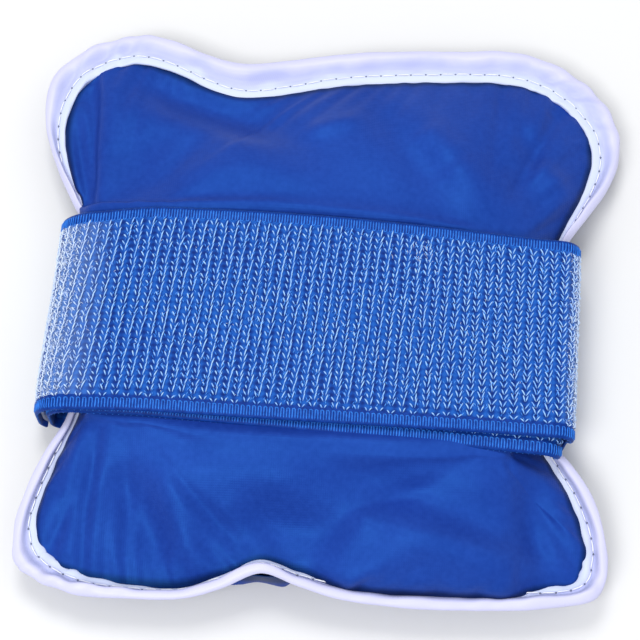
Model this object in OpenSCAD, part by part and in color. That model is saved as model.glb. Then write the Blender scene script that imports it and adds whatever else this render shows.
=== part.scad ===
// Cold compression wrap: a gel pack in a nylon cover, bound with satin tape and wound twice
// with one wide elastic strap. The pack lies on its back: X to the right, Y towards the edge
// with the dip, Z up out of the front cover. The origin is the middle of the underside.

/* [Pack] */
// Width over the bound edge
pack_w = 142; // [138:1:146]
// Length over the bound edge
pack_l = 142; // [138:1:146]
// Height of the plane where the two covers meet
seam_z = 10; // [9.8:0.1:10.2]
// How far the front cover crowns above the seam, away from the strap
front_rise = 12.5; // [11:0.5:13]
// Thickness of the coated nylon covers
cover_t = 0.6; // [0.5:0.1:0.7]

/* [Binding] */
// Width of the tape that shows on each side
binding_w = 7.5; // [7:0.5:8]
// Thickness of the folded tape
tape_t = 0.6; // [0.5:0.1:0.7]
// Distance from the tape's free edge to its row of stitches
stitch_inset = 2.2; // [1.8:0.1:2.6]
// Width and height of a sewing thread
thread_d = 0.35; // [0.3:0.05:0.4]

/* [Gel pouch] */
// Thickness of the pouch film
film_t = 0.4; // [0.3:0.1:0.5]
// Size of the pouch as a share of the sewn outline
pouch_share = 0.93; // [0.9:0.01:0.94]

/* [Strap] */
// Width of the elastic
strap_w = 50.8; // [48:0.4:51]
// Thickness of the elastic with its pile
strap_t = 1.5; // [1.3:0.1:1.6]
// Middle of the strap along the pack
strap_y = -6.5; // [-8:0.5:-5]
// Height of the outer face of the front run
run_top = 25; // [24.8:0.1:25.5]
// Air between two turns of the strap
turn_gap = 0.4; // [0.35:0.05:0.5]
// How far the hidden inner turn sits askew of the outer one
inner_shift = 1.2; // [0:0.2:2]
// Where the sewn end of the strap lies on the back, measured from the middle
anchor_x = -18; // [-24:1:-10]

/* [Hook tab] */
// Length of the hook tab along the strap
tab_l = 18; // [14:1:19]
// Thickness of the hook tab
tab_t = 1.4; // [1.2:0.1:1.5]
// Margin of elastic that shows on each side of the tab
tab_margin = 1.4; // [1:0.2:3]

/* [Hidden] */

// Strap faces: the outer turn's corners carry the hinges.
right_x = 60 * pack_w / 142;
left_x = -63.5 * pack_w / 142;
joint_gap = 0.2;
tip_foot_z = 3;
inner_front_z = run_top - 1.5 * strap_t - turn_gap;
inner_right_x = right_x - 1.5 * strap_t - turn_gap;
inner_left_x = left_x + 1.5 * strap_t + tab_t + turn_gap;
anchor_z = 1.5 * strap_t + turn_gap + thread_d * 0.5;
turn_r = 5;

// Small hidden sizes: the covers' lip under the tape, the tape's folded rim, the room between
// pouch and cover, the room between gel and cover, and the gap at the pouch's weld.
lip_inset = 1.2;
fold_w = 0.9;
pouch_trim = 1.1;
gel_trim = 1.8;
gel_share = pouch_share - 0.03;
weld_gap = 0.05;

// Sewn areas: the end of the strap on the back, and how far both boxes stay inside their edges.
anchor_stitch_l = 16;
stitch_margin = 2;
tab_foot_z = tip_foot_z + 0.5;

// The cover stays this far below the strap's inner faces across the pinched band.
band_half = strap_w / 2 + 4;
band_blend = 14;
band_rise = inner_front_z - strap_t / 2 - seam_z - cover_t - 0.9;
back_drop = seam_z - cover_t;
band_drop = back_drop - anchor_z - strap_t / 2 - 0.5;

// Bound edge of the pack, for a pack of 142 by 142, counter-clockwise from the right waist.
nominal_edge = [[56, -7], [56, 17], [59, 25], [66, 34], [71, 46], [67, 59], [58, 67], [44, 71],
    [22, 70], [0, 67], [-20, 64], [-35, 67], [-49, 70], [-62, 65], [-70, 53], [-69, 40],
    [-62, 27], [-57, 17], [-57, -7], [-57, -31], [-61, -40], [-67, -50], [-68, -61],
    [-61, -69], [-44, -71], [-26, -70], [-11, -65], [4, -69], [30, -70], [56, -69],
    [67, -62], [67, -50], [60, -39], [56, -31]];

edge = centred(rounded([for (p = nominal_edge) [p[0] * pack_w / 142, p[1] * pack_l / 142]], 2));
seam = inset(edge, binding_w);

// One point of the smooth curve through b and c, with neighbours a and d.
function on_curve(a, b, c, d, t) =
    0.5 * (2 * b + (c - a) * t + (2 * a - 5 * b + 4 * c - d) * t * t
        + (3 * b - a - 3 * c + d) * t * t * t);

// The closed smooth curve through all the points, with this many steps between two.
function rounded(p, steps) =
    [for (i = [0:len(p) - 1], k = [0:steps - 1])
        on_curve(p[(i + len(p) - 1) % len(p)], p[i], p[(i + 1) % len(p)],
            p[(i + 2) % len(p)], k / steps)];

// The outline moved so that the middle of its box is the origin.
function middle(v) = (max(v) + min(v)) / 2;
function centred(p) =
    let (mid = [middle([for (q = p) q[0]]), middle([for (q = p) q[1]])]) [for (q = p) q - mid];

// The outline moved inwards by d along its own normals.
function unit(v) = v / norm(v);
function inset(p, d) =
    [for (i = [0:len(p) - 1])
        let (along = unit(p[(i + 1) % len(p)] - p[(i + len(p) - 1) % len(p)]))
            p[i] + d * [-along[1], along[0]]];

// 0 across the strap's band and 1 well away from it.
function smooth(t) = let (c = min(1, max(0, t))) c * c * (3 - 2 * c);
function lobe(y) = smooth((abs(y - strap_y) - band_half) / band_blend);

// Crown of a filled cover from its middle (share 0) to its seam (share 1).
function crown(share) = sqrt(max(0, 1 - pow(share, 3.4)));
function flat_crown(share) = min(1, 1.12 * sqrt(max(0, 1 - pow(share, 4))));

// One ring of a cover's skin. side is 1 for the front and -1 for the back, and level is the
// height at the seam. size is the skin's own outline as a share of the sewn outline.
function skin_z(y, share, side, level, trim) =
    side > 0
        ? level + (band_rise + (front_rise - band_rise) * lobe(y) - trim) * crown(share)
        : level - (band_drop + (back_drop - band_drop) * lobe(y) - trim) * flat_crown(share);
function skin_ring(share, size, side, level, trim) =
    [for (p = seam) [p[0] * share * size, p[1] * share * size,
        skin_z(p[1] * share * size, share, side, level, trim)]];
function flat_ring(p, z) = [for (q = p) [q[0], q[1], z]];

// A closed solid through rings of equal length, with a point closing each end.
module ring_stack(first, rings, last) {
    n = len(rings[0]);
    top = len(rings) - 1;
    points = concat([first], [for (r = rings) each r], [last]);
    fan = [for (i = [0:n - 1]) [0, 1 + (i + 1) % n, 1 + i]];
    walls = [for (k = [0:top - 1], i = [0:n - 1])
        let (a = 1 + k * n + i, b = 1 + k * n + (i + 1) % n) each [[a, b, b + n], [a, b + n, a + n]]];
    close = [for (i = [0:n - 1]) [len(points) - 1, 1 + top * n + i, 1 + top * n + (i + 1) % n]];
    polyhedron(points, concat(fan, walls, close));
}

// A thin filled skin: its outer face, an optional flat lip, and its inner face.
shares = [0.35, 0.6, 0.78, 0.9, 0.97, 1];
module skin(side, size, level, thickness, trim, lip) {
    outer = level + side * thickness;
    out_rings = [for (s = shares) skin_ring(s, size, side, outer, trim)];
    in_rings = [for (i = [len(shares) - 1:-1:0]) skin_ring(shares[i], size, side, level, trim)];
    lip_rings = len(lip) == 0 ? [] : [flat_ring(lip, outer), flat_ring(lip, level)];
    stack = concat(out_rings, lip_rings, in_rings);
    ordered = side > 0 ? stack : [for (i = [len(stack) - 1:-1:0]) stack[i]];
    tops = [[0, 0, skin_z(0, 0, side, outer, trim)], [0, 0, skin_z(0, 0, side, level, trim)]];
    ring_stack(side > 0 ? tops[0] : tops[1], ordered, side > 0 ? tops[1] : tops[0]);
}

module front_cover() {
    color("royalblue") skin(1, 1, seam_z, cover_t, 0, inset(edge, lip_inset));
}

module back_cover() {
    color("mediumblue") skin(-1, 1, seam_z, cover_t, 0, inset(edge, lip_inset));
}

// A flat ring that follows the edge between two insets.
module edge_ring(from, to, low, high) {
    translate([0, 0, low]) linear_extrude(high - low) difference() {
        polygon(from == 0 ? edge : inset(edge, from));
        polygon(inset(edge, to));
    }
}

// Tape folded over both covers' lips.
module edge_binding() {
    color("white") union() {
        edge_ring(0, binding_w, seam_z + cover_t, seam_z + cover_t + tape_t);
        edge_ring(0, binding_w, seam_z - cover_t - tape_t, seam_z - cover_t);
        edge_ring(0, fold_w, seam_z - cover_t - tape_t, seam_z + cover_t + tape_t);
    }
}

module seam_thread(low) {
    middle_line = binding_w - stitch_inset;
    color("ghostwhite")
        edge_ring(middle_line - thread_d / 2, middle_line + thread_d / 2, low, low + thread_d);
}

module binding_needle_thread() {
    seam_thread(seam_z + cover_t + tape_t);
}

module binding_bobbin_thread() {
    seam_thread(seam_z - cover_t - tape_t - thread_d);
}

// The sealed pouch: two films welded at their rims, a little smaller than the covers.
module gel_pouch_front_film() {
    color("lightsteelblue") skin(1, pouch_share, seam_z + weld_gap, film_t, pouch_trim, []);
}

module gel_pouch_back_film() {
    color("lightsteelblue") skin(-1, pouch_share, seam_z - weld_gap, film_t, pouch_trim, []);
}

module gel_fill() {
    last = len(shares) - 2;
    front = [for (i = [0:last]) skin_ring(shares[i], gel_share, 1, seam_z, gel_trim)];
    back = [for (i = [last:-1:0]) skin_ring(shares[i], gel_share, -1, seam_z, gel_trim)];
    color("deepskyblue")
        ring_stack([0, 0, skin_z(0, 0, 1, seam_z, gel_trim)], concat(front, back),
            [0, 0, skin_z(0, 0, -1, seam_z, gel_trim)]);
}

// A band of elastic, drawn in the X-Z plane and extruded across the strap's width.
module across(profile, width, middle_y) {
    translate([0, middle_y + width / 2, 0]) rotate([90, 0, 0]) linear_extrude(width)
        polygon(profile);
}

function bend(centre, r, from, to) =
    [for (k = [0:5]) centre + r * [cos(from + (to - from) * k / 5), sin(from + (to - from) * k / 5)]];

// Both faces of the inner turn come from the same four corners, at two radii.
function turn_face(side) =
    let (r = turn_r + side * strap_t / 2) concat(
        [[anchor_x, anchor_z - side * strap_t / 2]],
        bend([inner_right_x - turn_r, anchor_z + turn_r], r, -90, 0),
        bend([inner_right_x - turn_r, inner_front_z - turn_r], r, 0, 90),
        bend([inner_left_x + turn_r, inner_front_z - turn_r], r, 90, 180),
        bend([inner_left_x + turn_r, strap_t / 2 + turn_r], r, 180, 270),
        [[right_x - (1 - side) / 2 * strap_t, strap_t * (1 - side) / 2]]);

// Sewn end, once round the pack, and back under it to the corner where the outer turn starts.
module strap_inner_turn() {
    inside = turn_face(-1);
    color("steelblue")
        across(concat(turn_face(1), [for (i = [len(inside) - 1:-1:0]) inside[i]]),
            strap_w, strap_y - inner_shift);
}

// A rectangle of thread with a cross in it.
module box_stitch(w, h) {
    linear_extrude(thread_d) {
        difference() {
            square([w, h], center = true);
            square([w - 2 * thread_d, h - 2 * thread_d], center = true);
        }
        for (turn = [-1, 1])
            rotate(turn * atan2(h, w)) square([norm([w, h]) - 2, thread_d], center = true);
    }
}

module strap_anchor_stitches() {
    color("navy") translate([anchor_x + anchor_stitch_l / 2 + stitch_margin,
            strap_y - inner_shift, anchor_z - strap_t / 2 - thread_d])
        box_stitch(anchor_stitch_l, strap_w - 3 * stitch_margin);
}

module strap_side_run() {
    color("cornflowerblue") across([[right_x, joint_gap], [right_x, run_top],
        [right_x - strap_t, run_top - strap_t], [right_x - strap_t, strap_t + joint_gap]],
        strap_w, strap_y);
}

module strap_front_run() {
    color("cornflowerblue") across([[left_x, run_top], [left_x + strap_t, run_top - strap_t],
        [right_x - strap_t - joint_gap, run_top - strap_t], [right_x - joint_gap, run_top]],
        strap_w, strap_y);
}

module strap_tip() {
    color("cornflowerblue") across([[left_x, run_top - joint_gap], [left_x, tip_foot_z],
        [left_x + strap_t, tip_foot_z], [left_x + strap_t, run_top - strap_t - joint_gap]],
        strap_w, strap_y);
}

module hook_tab() {
    color("white") translate([left_x + strap_t, strap_y - strap_w / 2 + tab_margin, tab_foot_z])
        cube([tab_t, strap_w - 2 * tab_margin, tab_l]);
}

module hook_tab_stitches() {
    color("ghostwhite") translate([left_x, strap_y, tab_foot_z + tab_l / 2])
        rotate([0, -90, 0])
            box_stitch(tab_l - 2 * stitch_margin, strap_w - 2 * (tab_margin + stitch_margin));
}

front_cover();
back_cover();
edge_binding();
binding_needle_thread();
binding_bobbin_thread();
gel_pouch_front_film();
gel_pouch_back_film();
gel_fill();
strap_inner_turn();
strap_anchor_stitches();
strap_side_run();
strap_front_run();
strap_tip();
hook_tab();
hook_tab_stitches();
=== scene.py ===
"""Looks of the cold compression wrap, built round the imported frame."""

import math

import bpy
import numpy as np
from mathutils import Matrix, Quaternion, Vector


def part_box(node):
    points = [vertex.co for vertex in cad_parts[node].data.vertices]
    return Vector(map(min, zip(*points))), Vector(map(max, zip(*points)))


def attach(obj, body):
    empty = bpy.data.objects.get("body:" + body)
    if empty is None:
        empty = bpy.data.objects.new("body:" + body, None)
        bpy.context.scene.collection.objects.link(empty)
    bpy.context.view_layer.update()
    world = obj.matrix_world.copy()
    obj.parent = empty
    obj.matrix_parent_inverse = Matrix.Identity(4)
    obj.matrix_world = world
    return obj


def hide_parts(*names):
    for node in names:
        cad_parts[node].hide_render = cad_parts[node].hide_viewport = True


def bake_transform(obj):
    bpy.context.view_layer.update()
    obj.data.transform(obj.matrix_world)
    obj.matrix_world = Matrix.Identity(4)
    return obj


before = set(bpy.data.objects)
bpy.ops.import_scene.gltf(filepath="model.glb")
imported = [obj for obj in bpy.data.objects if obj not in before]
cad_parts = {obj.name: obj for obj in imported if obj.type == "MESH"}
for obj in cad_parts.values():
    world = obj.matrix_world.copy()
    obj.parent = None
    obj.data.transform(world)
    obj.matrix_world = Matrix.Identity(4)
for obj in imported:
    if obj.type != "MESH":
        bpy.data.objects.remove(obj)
scene = bpy.context.scene
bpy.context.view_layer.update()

MM = 0.001
SEED = 418


def box_mm(node):
    """The lowest and highest corners of a CAD node, in millimetres."""
    low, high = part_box(node)
    return np.array(low) / MM, np.array(high) / MM


RUN_LOW, RUN_HIGH = box_mm("strap_front_run")
TURN_LOW, TURN_HIGH = box_mm("strap_inner_turn")
SIDE_HIGH = box_mm("strap_side_run")[1]
TIP_LOW, TIP_HIGH = box_mm("strap_tip")
TAB_LOW, TAB_HIGH = box_mm("hook_tab")

# ---- small tools


def smooth(t):
    """Smoothstep of t, held between 0 and 1."""
    t = np.clip(t, 0, 1)
    return t * t * (3 - 2 * t)


def bump(t, centre, half_width):
    """A smooth hill of height 1 at the centre, 0 past the half width."""
    return smooth(1 - np.abs(t - centre) / half_width)


def unit(v):
    """Vectors along the last axis, at length 1."""
    return v / np.maximum(np.linalg.norm(v, axis=-1, keepdims=True), 1e-9)


def grid_faces(rows, cols, wrap=False):
    """Quads of a grid of points numbered row by row; wrap closes each row."""
    across = cols if wrap else cols - 1
    i, j = np.meshgrid(np.arange(rows - 1), np.arange(across), indexing="ij")
    k = (j + 1) % cols
    quads = np.stack([i * cols + j, i * cols + k, (i + 1) * cols + k, (i + 1) * cols + j], -1)
    return quads.reshape(-1, 4)


def piece(name, points, faces, materials, slots=None, attribute=None):
    """A mesh object from points in millimetres, with smooth shading."""
    mesh = bpy.data.meshes.new(name)
    faces = faces if isinstance(faces, list) else faces.tolist()
    mesh.from_pydata((np.reshape(points, (-1, 3)) * MM).tolist(), [], faces)
    for material in materials:
        mesh.materials.append(material)
    if slots is not None:
        mesh.polygons.foreach_set("material_index", np.asarray(slots, np.int32))
    if attribute is not None:
        layer = mesh.attributes.new("cloth", "FLOAT_VECTOR", "POINT")
        layer.data.foreach_set("vector", np.asarray(attribute, np.float32).ravel())
    mesh.polygons.foreach_set("use_smooth", np.ones(len(mesh.polygons), bool))
    mesh.update()
    obj = bpy.data.objects.new(name, mesh)
    scene.collection.objects.link(obj)
    return obj


def border(size):
    """A square grid of flags, set along its four sides."""
    flags = np.zeros((size, size), bool)
    flags[[0, -1]], flags[:, [0, -1]] = True, True
    return flags


def tubes(lines, ups, radii):
    """Points and quads of many closed four-sided tubes: lines is (tubes, rings, 3)."""
    count, rings = lines.shape[:2]
    along = unit(np.gradient(lines, axis=1))
    ups = ups if ups.ndim == 3 else ups[:, None, :]
    side = unit(np.cross(along, np.broadcast_to(ups, lines.shape)))
    up = np.cross(side, along)
    angle = 2 * np.pi * np.arange(4) / 4
    ring = np.cos(angle)[:, None] * side[:, :, None, :] + np.sin(angle)[:, None] * up[:, :, None, :]
    points = lines[:, :, None, :] + np.asarray(radii)[None, :, None, None] * ring
    last = 4 * rings - 1
    ends = np.array([[0, 1, 2, 3], [last, last - 1, last - 2, last - 3]])
    one = np.concatenate([grid_faces(rings, 4, wrap=True)[:, ::-1], ends])
    quads = one[None] + (np.arange(count) * rings * 4)[:, None, None]
    return points.reshape(-1, 3), quads.reshape(-1, 4)


class Gather:
    """Collects points, quads, material slots and cloth coordinates of one piece."""

    def __init__(self):
        self.points, self.quads, self.slots, self.cloth, self.count = [], [], [], [], 0

    def add(self, points, quads, slot, cloth):
        points = np.reshape(points, (-1, 3))
        self.points.append(points)
        self.quads.append(np.asarray(quads) + self.count)
        self.slots.append(np.broadcast_to(slot, len(quads)))
        self.cloth.append(np.reshape(cloth, (-1, 3)))
        self.count += len(points)

    def piece(self, name, materials):
        return piece(name, np.concatenate(self.points), np.concatenate(self.quads), materials,
                     np.concatenate(self.slots), np.concatenate(self.cloth))


# ---- strap path

BASE_HALF = 0.43
STRAP_T = TIP_HIGH[0] - TIP_LOW[0]
RIGHT_X, LEFT_X, TOP_Z = SIDE_HIGH[0], TIP_LOW[0], RUN_HIGH[2]
STRAP_HALF = (RUN_HIGH[1] - RUN_LOW[1]) / 2
OUTER_Y = (RUN_HIGH[1] + RUN_LOW[1]) / 2
INNER_Y = (TURN_HIGH[1] + TURN_LOW[1]) / 2 + 0.2
OUTER_SKEW, INNER_SKEW = math.radians(-1.2), math.radians(-2.7)
TURN_GAP = 0.4
ANCHOR_X = box_mm("strap_anchor_stitches")[0][0] - 2
TAB_T = TAB_HIGH[0] - TAB_LOW[0]
TAB_LENGTH = TAB_HIGH[2] - TAB_LOW[2]

# Inner face of each run, then the base's own centre line, half a base thickness outwards.
FRONT_Z = TOP_Z - 2 * STRAP_T - TURN_GAP + BASE_HALF
SIDE_X = RIGHT_X - 2 * STRAP_T - TURN_GAP + BASE_HALF
FAR_X = LEFT_X + 2 * STRAP_T + TAB_T + TURN_GAP - BASE_HALF
ROOT_Z = 3.575 - BASE_HALF
UNDER_Z = STRAP_T - BASE_HALF
STOPS = [
    (ANCHOR_X, ROOT_Z, 0), (SIDE_X, ROOT_Z, 3.5), (SIDE_X, FRONT_Z, 5.0), (FAR_X, FRONT_Z, 6.0),
    (FAR_X, UNDER_Z, 4.0), (RIGHT_X - STRAP_T + BASE_HALF, UNDER_Z, 3.0),
    (RIGHT_X - STRAP_T + BASE_HALF, TOP_Z - STRAP_T + BASE_HALF, 4.6),
    (LEFT_X + STRAP_T - BASE_HALF, TOP_Z - STRAP_T + BASE_HALF, 7.5),
    (LEFT_X + STRAP_T - BASE_HALF, TIP_LOW[2], 0),
]


def wound_path(stops):
    """The wound strap's centre line with rounded turns, its travel, and where each turn starts."""
    line = [np.array(stops[0][:2], float)]
    corners = []
    for k in range(1, len(stops) - 1):
        before, here, after = (np.array(stops[k + j][:2], float) for j in (-1, 0, 1))
        radius = stops[k][2]
        into, out = unit(here - before), unit(after - here)
        centre = here - into * radius + out * radius
        corners.append(len(line))
        for angle in np.linspace(0, np.pi / 2, 24):
            line.append(centre - out * radius * math.cos(angle) + into * radius * math.sin(angle))
    line.append(np.array(stops[-1][:2], float))
    line = np.array(line)
    travel = np.concatenate([[0], np.cumsum(np.linalg.norm(np.diff(line, axis=0), axis=1))])
    return line, travel, [travel[c] for c in corners] + [travel[-1]]


WOUND, WOUND_S, CORNER_S = wound_path(STOPS)
STRAP_LENGTH = WOUND_S[-1]
EVEN_S = np.arange(0, STRAP_LENGTH, 0.1)
EVEN = np.stack([np.interp(EVEN_S, WOUND_S, WOUND[:, k]) for k in (0, 1)], 1)
HEADING = unit(np.gradient(EVEN, axis=0))


def skew_and_middle(s):
    """How far the strap is turned about Z, and its middle in Y, at travel s."""
    outer = smooth((s - CORNER_S[3]) / (CORNER_S[4] - CORNER_S[3]))
    return INNER_SKEW + (OUTER_SKEW - INNER_SKEW) * outer, INNER_Y + (OUTER_Y - INNER_Y) * outer


def settle(points):
    """The strap sags at its left turn, bows over the pack and slips along it at the right turn."""
    x, y, z = points[..., 0], points[..., 1], points[..., 2]
    high = smooth((z - 5) / 15)
    upper = smooth((y + 26) / 42)
    left = smooth((-38 - x) / 26)
    sag = (4.0 + 3.6 * upper) * left * high
    layer = 0.5 * smooth((z - 17) / 3) + 0.5 * smooth((z - 22.6) / 0.9)
    out = points.copy()
    slip = 2.2 * smooth((x - 46) / 12) * smooth((21 - z) / 10)
    out[..., 2] = z - sag + 0.15 * bow(x, y) * layer
    out[..., 1] = y + slip + 0.28 * bow(x, y) * layer
    out[..., 0] = x - (2.4 - 0.9 * upper) * left * smooth(z / 6) + 0.5 * smooth((x - 40) / 18) * high
    return out


def bow(x, y):
    """How strongly the filled pack bows the middle of the strap's front run."""
    return (0.9 + 2.8 * smooth((y + 26) / 42)) * np.maximum(1 - (x / 52) ** 2, 0) ** 1.3


def width_share(s):
    """The stretched elastic is a little narrower, most at the right end of its front run."""
    right = smooth((s - CORNER_S[4] + 40) / 40) * (1 - smooth((s - CORNER_S[5] + 5) / 85))
    front = smooth((s - CORNER_S[5] + 30) / 30)
    return 1 - 0.036 * right - 0.022 * front


def on_band(s, v, h):
    """A point of the strap: s along it, v across it, h out of its base, all in mm."""
    s, v, h = np.broadcast_arrays(s, v, h)
    held = np.clip(s, 0, STRAP_LENGTH - 0.1)
    x, z = (np.interp(held, EVEN_S, EVEN[:, k]) for k in (0, 1))
    tx, tz = (np.interp(held, EVEN_S, HEADING[:, k]) for k in (0, 1))
    x, z = x + tz * h, z - tx * h
    skew, middle_y = skew_and_middle(held)
    v = v * width_share(held)
    return settle(np.stack([x * np.cos(skew) - v * np.sin(skew),
                            middle_y + x * np.sin(skew) + v * np.cos(skew), z], -1))


def band_normal(s, v):
    """Outward direction of the strap at s and v."""
    return unit(on_band(s, v, 1.0) - on_band(s, v, 0.0))


# ---- materials


class Shader:
    """A node material with a Principled shader and short helpers."""

    def __init__(self, name, **sockets):
        self.material = bpy.data.materials.new(name)
        self.material.use_nodes = True
        self.tree = self.material.node_tree
        self.main = self.tree.nodes["Principled BSDF"]
        for socket, value in sockets.items():
            self.main.inputs[socket.replace("_", " ")].default_value = value

    def node(self, kind, links=None, **settings):
        """Adds a node; settings are its properties and links feed its inputs."""
        made = self.tree.nodes.new(kind)
        for key, value in settings.items():
            setattr(made, key, value)
        for key, value in (links or {}).items():
            socket = made.inputs[key]
            if isinstance(value, bpy.types.NodeSocket):
                self.tree.links.new(value, socket)
            else:
                socket.default_value = value
        return made

    def link(self, output, socket):
        self.tree.links.new(output, self.main.inputs[socket])

    def place(self, attribute=None):
        """Where a point is: the cloth attribute in millimetres, or the object's own metres."""
        if attribute:
            return self.node("ShaderNodeAttribute", attribute_name=attribute).outputs["Vector"]
        return self.node("ShaderNodeTexCoord").outputs["Object"]

    def part(self, vector, axis):
        return self.node("ShaderNodeSeparateXYZ", {"Vector": vector}).outputs[axis]

    def scaled(self, vector, scale, turn=0.0):
        return self.node("ShaderNodeMapping", {"Vector": vector, "Scale": scale,
                                               "Rotation": (0, 0, turn)}).outputs["Vector"]

    def noise(self, vector, scale, detail=3.0, roughness=0.5):
        made = self.node("ShaderNodeTexNoise", {"Vector": vector, "Scale": scale,
                                                "Detail": detail, "Roughness": roughness})
        return made.outputs["Fac"]

    def wave(self, vector, scale, direction="X", distortion=0.0):
        made = self.node("ShaderNodeTexWave", {"Vector": vector, "Scale": scale,
                                               "Distortion": distortion, "Detail": 0.0},
                         wave_type="BANDS", bands_direction=direction)
        return made.outputs["Fac"]

    def ramp(self, value, *stops):
        made = self.node("ShaderNodeValToRGB", {"Fac": value})
        band = made.color_ramp
        while len(band.elements) < len(stops):
            band.elements.new(0.5)
        for element, (place, colour) in zip(band.elements, stops):
            element.position = place
            element.color = (*colour, 1) if isinstance(colour, tuple) else (colour, colour, colour, 1)
        return made.outputs["Color"]

    def math(self, operation, a, b):
        return self.node("ShaderNodeMath", {0: a, 1: b}, operation=operation).outputs[0]

    def bumped(self, height, strength, distance):
        made = self.node("ShaderNodeBump", {"Height": height, "Strength": strength,
                                            "Distance": distance})
        self.link(made.outputs["Normal"], "Normal")


def nylon(name, deep, light):
    """Coated plain-weave nylon: satin, with a fine weave, faint cloudy shade, and painted shade next to
    the tape's edge.
    """
    s = Shader(name, Roughness=0.48, Specular_IOR_Level=0.55, Specular_Tint=(0.06, 0.36, 1.0, 1.0))
    here = s.place()
    cloud = s.math("MULTIPLY", s.noise(here, 38.0, 3.0, 0.55), 0.62)
    thread = s.math("MULTIPLY", s.noise(here, 760.0, 1.0), 0.38)
    colour = s.ramp(s.math("ADD", cloud, thread), (0.3, deep), (0.7, light))
    # Painted shade: the colour darkens within a few grid steps of the seam, where the tape's edge
    # shades the cover.
    rim = s.part(s.place("cloth"), "Z")
    seam_shade = s.ramp(s.math("MULTIPLY", rim, 0.1), (0.08, 0.25), (0.17, 0.9), (0.35, 1.0))
    shaded = s.node("ShaderNodeMix", {"Factor": 1.0, "A": colour, "B": seam_shade},
                    data_type="RGBA", blend_type="MULTIPLY")
    s.link(shaded.outputs["Result"], "Base Color")
    weave = s.math("MULTIPLY", s.wave(here, 620.0, "X"), s.wave(here, 620.0, "Y"))
    grain = s.math("MULTIPLY", s.noise(here, 1400.0, 1.0), 0.6)
    s.bumped(s.math("ADD", weave, grain), 0.35, 0.00006)
    s.link(s.ramp(s.noise(here, 90.0, 2.0), (0.3, 0.42), (0.7, 0.52)), "Roughness")
    return s.material


def satin_tape(name):
    """White satin bias tape: a fine diagonal grain, with painted lavender shade where it dips behind
    the stitching.
    """
    s = Shader(name, Roughness=0.4, Specular_IOR_Level=0.32)
    here, cloth = s.place(), s.place("cloth")
    across = s.part(cloth, "Y")
    wander = s.math("MULTIPLY", s.math("SUBTRACT", s.noise(here, 70.0, 3.0), 0.5), 5.0)
    band = s.math("MULTIPLY", s.math("ADD", across, wander), 1 / 7.5)
    # Painted shade: the lavender stops across the middle of the tape stand for the shade in the valley
    # behind the stitch line.
    white, valley_shade, pink = (0.59, 0.65, 0.86), (0.46, 0.49, 0.77), (0.61, 0.61, 0.85)
    s.link(s.ramp(band, (0.24, white), (0.42, valley_shade), (0.56, valley_shade), (0.78, pink)), "Base Color")
    grain = s.wave(s.scaled(cloth, (1, 1, 1), math.radians(38)), 0.75, "X", 1.5)
    s.bumped(s.math("ADD", grain, s.noise(here, 900.0, 1.0)), 0.25, 0.00005)
    return s.material


def thread_material(name, dark, light):
    """Twisted polyester thread."""
    s = Shader(name, Roughness=0.45, Sheen_Weight=0.3, Sheen_Roughness=0.4)
    here = s.place()
    s.link(s.ramp(s.noise(here, 500.0, 2.0), (0.3, dark), (0.7, light)), "Base Color")
    twist = s.wave(s.scaled(here, (1, 1, 1), math.radians(50)), 2600.0, "X")
    s.bumped(twist, 0.4, 0.00005)
    return s.material


def knit_ground():
    """Blue knitted elastic under the pile: painted shade darkens it between the wales, and it is
    lighter on them.
    """
    s = Shader("strap_ground", Roughness=0.7, Sheen_Weight=0.15, Sheen_Roughness=0.5,
               Sheen_Tint=(0.3, 0.55, 1, 1), Specular_IOR_Level=0.15)
    cloth = s.place("cloth")
    # Painted shade: the wale and row waves darken the colour in the hollows between the wales.
    wales = s.wave(s.scaled(cloth, (1, 1, 0)), 0.1283, "X", 0.6)
    rows = s.wave(s.scaled(cloth, (1, 1, 0)), 0.2027, "Y", 0.8)
    mix = s.math("ADD", s.math("MULTIPLY", wales, 0.55), s.math("MULTIPLY", rows, 0.35))
    fuzz = s.noise(cloth, 2.4, 3.0, 0.6)
    value = s.math("ADD", mix, s.math("MULTIPLY", fuzz, 0.5))
    colour = s.ramp(value, (0.25, (0.001, 0.02, 0.17)), (0.6, (0.003, 0.05, 0.3)),
                    (1.0, (0.009, 0.1, 0.45)))
    s.link(worn(s, cloth, colour, (0.3, 0.5, 0.85), 0.3), "Base Color")
    s.bumped(value, 0.8, 0.0003)
    return s.material


def worn(s, cloth, colour, white, most):
    """Mixes a colour towards white where the strap turns at either end of its front run."""
    travel = s.part(cloth, "X")
    ends = [s.node("ShaderNodeMapRange", {"Value": travel, "From Min": start, "From Max": end,
                                          "To Min": 0.0, "To Max": share},
                   interpolation_type="SMOOTHSTEP").outputs["Result"]
            for start, end, share in ((CORNER_S[6] - 8, CORNER_S[6] + 8, most),
                                      (CORNER_S[5] + 7, CORNER_S[5] + 1, 0.7 * most))]
    on_front = s.math("GREATER_THAN", travel, CORNER_S[5] - 9)
    outer_face = s.math("GREATER_THAN", s.part(cloth, "Z"), 0.05)
    share = s.math("MULTIPLY", s.math("MAXIMUM", *ends), s.math("MULTIPLY", on_front, outer_face))
    mix = s.node("ShaderNodeMix", {"Factor": share, "A": colour, "B": (*white, 1)}, data_type="RGBA")
    return mix.outputs["Result"]


def yarn(name, low, high, whiter=0.0, **sockets):
    """Soft yarn with colour that wanders from stitch to stitch."""
    s = Shader(name, Roughness=0.5, Sheen_Weight=0.2, Sheen_Roughness=0.4,
               Sheen_Tint=(0.25, 0.5, 1, 1), **sockets)
    cloth = s.place("cloth")
    colour = s.ramp(s.noise(cloth, 0.9, 2.0), (0.3, low), (0.7, high))
    if whiter:
        colour = worn(s, cloth, colour, (0.82, 0.9, 1.0), whiter)
    s.link(colour, "Base Color")
    s.bumped(s.noise(cloth, 9.0, 1.0), 0.3, 0.00005)
    return s.material


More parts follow.
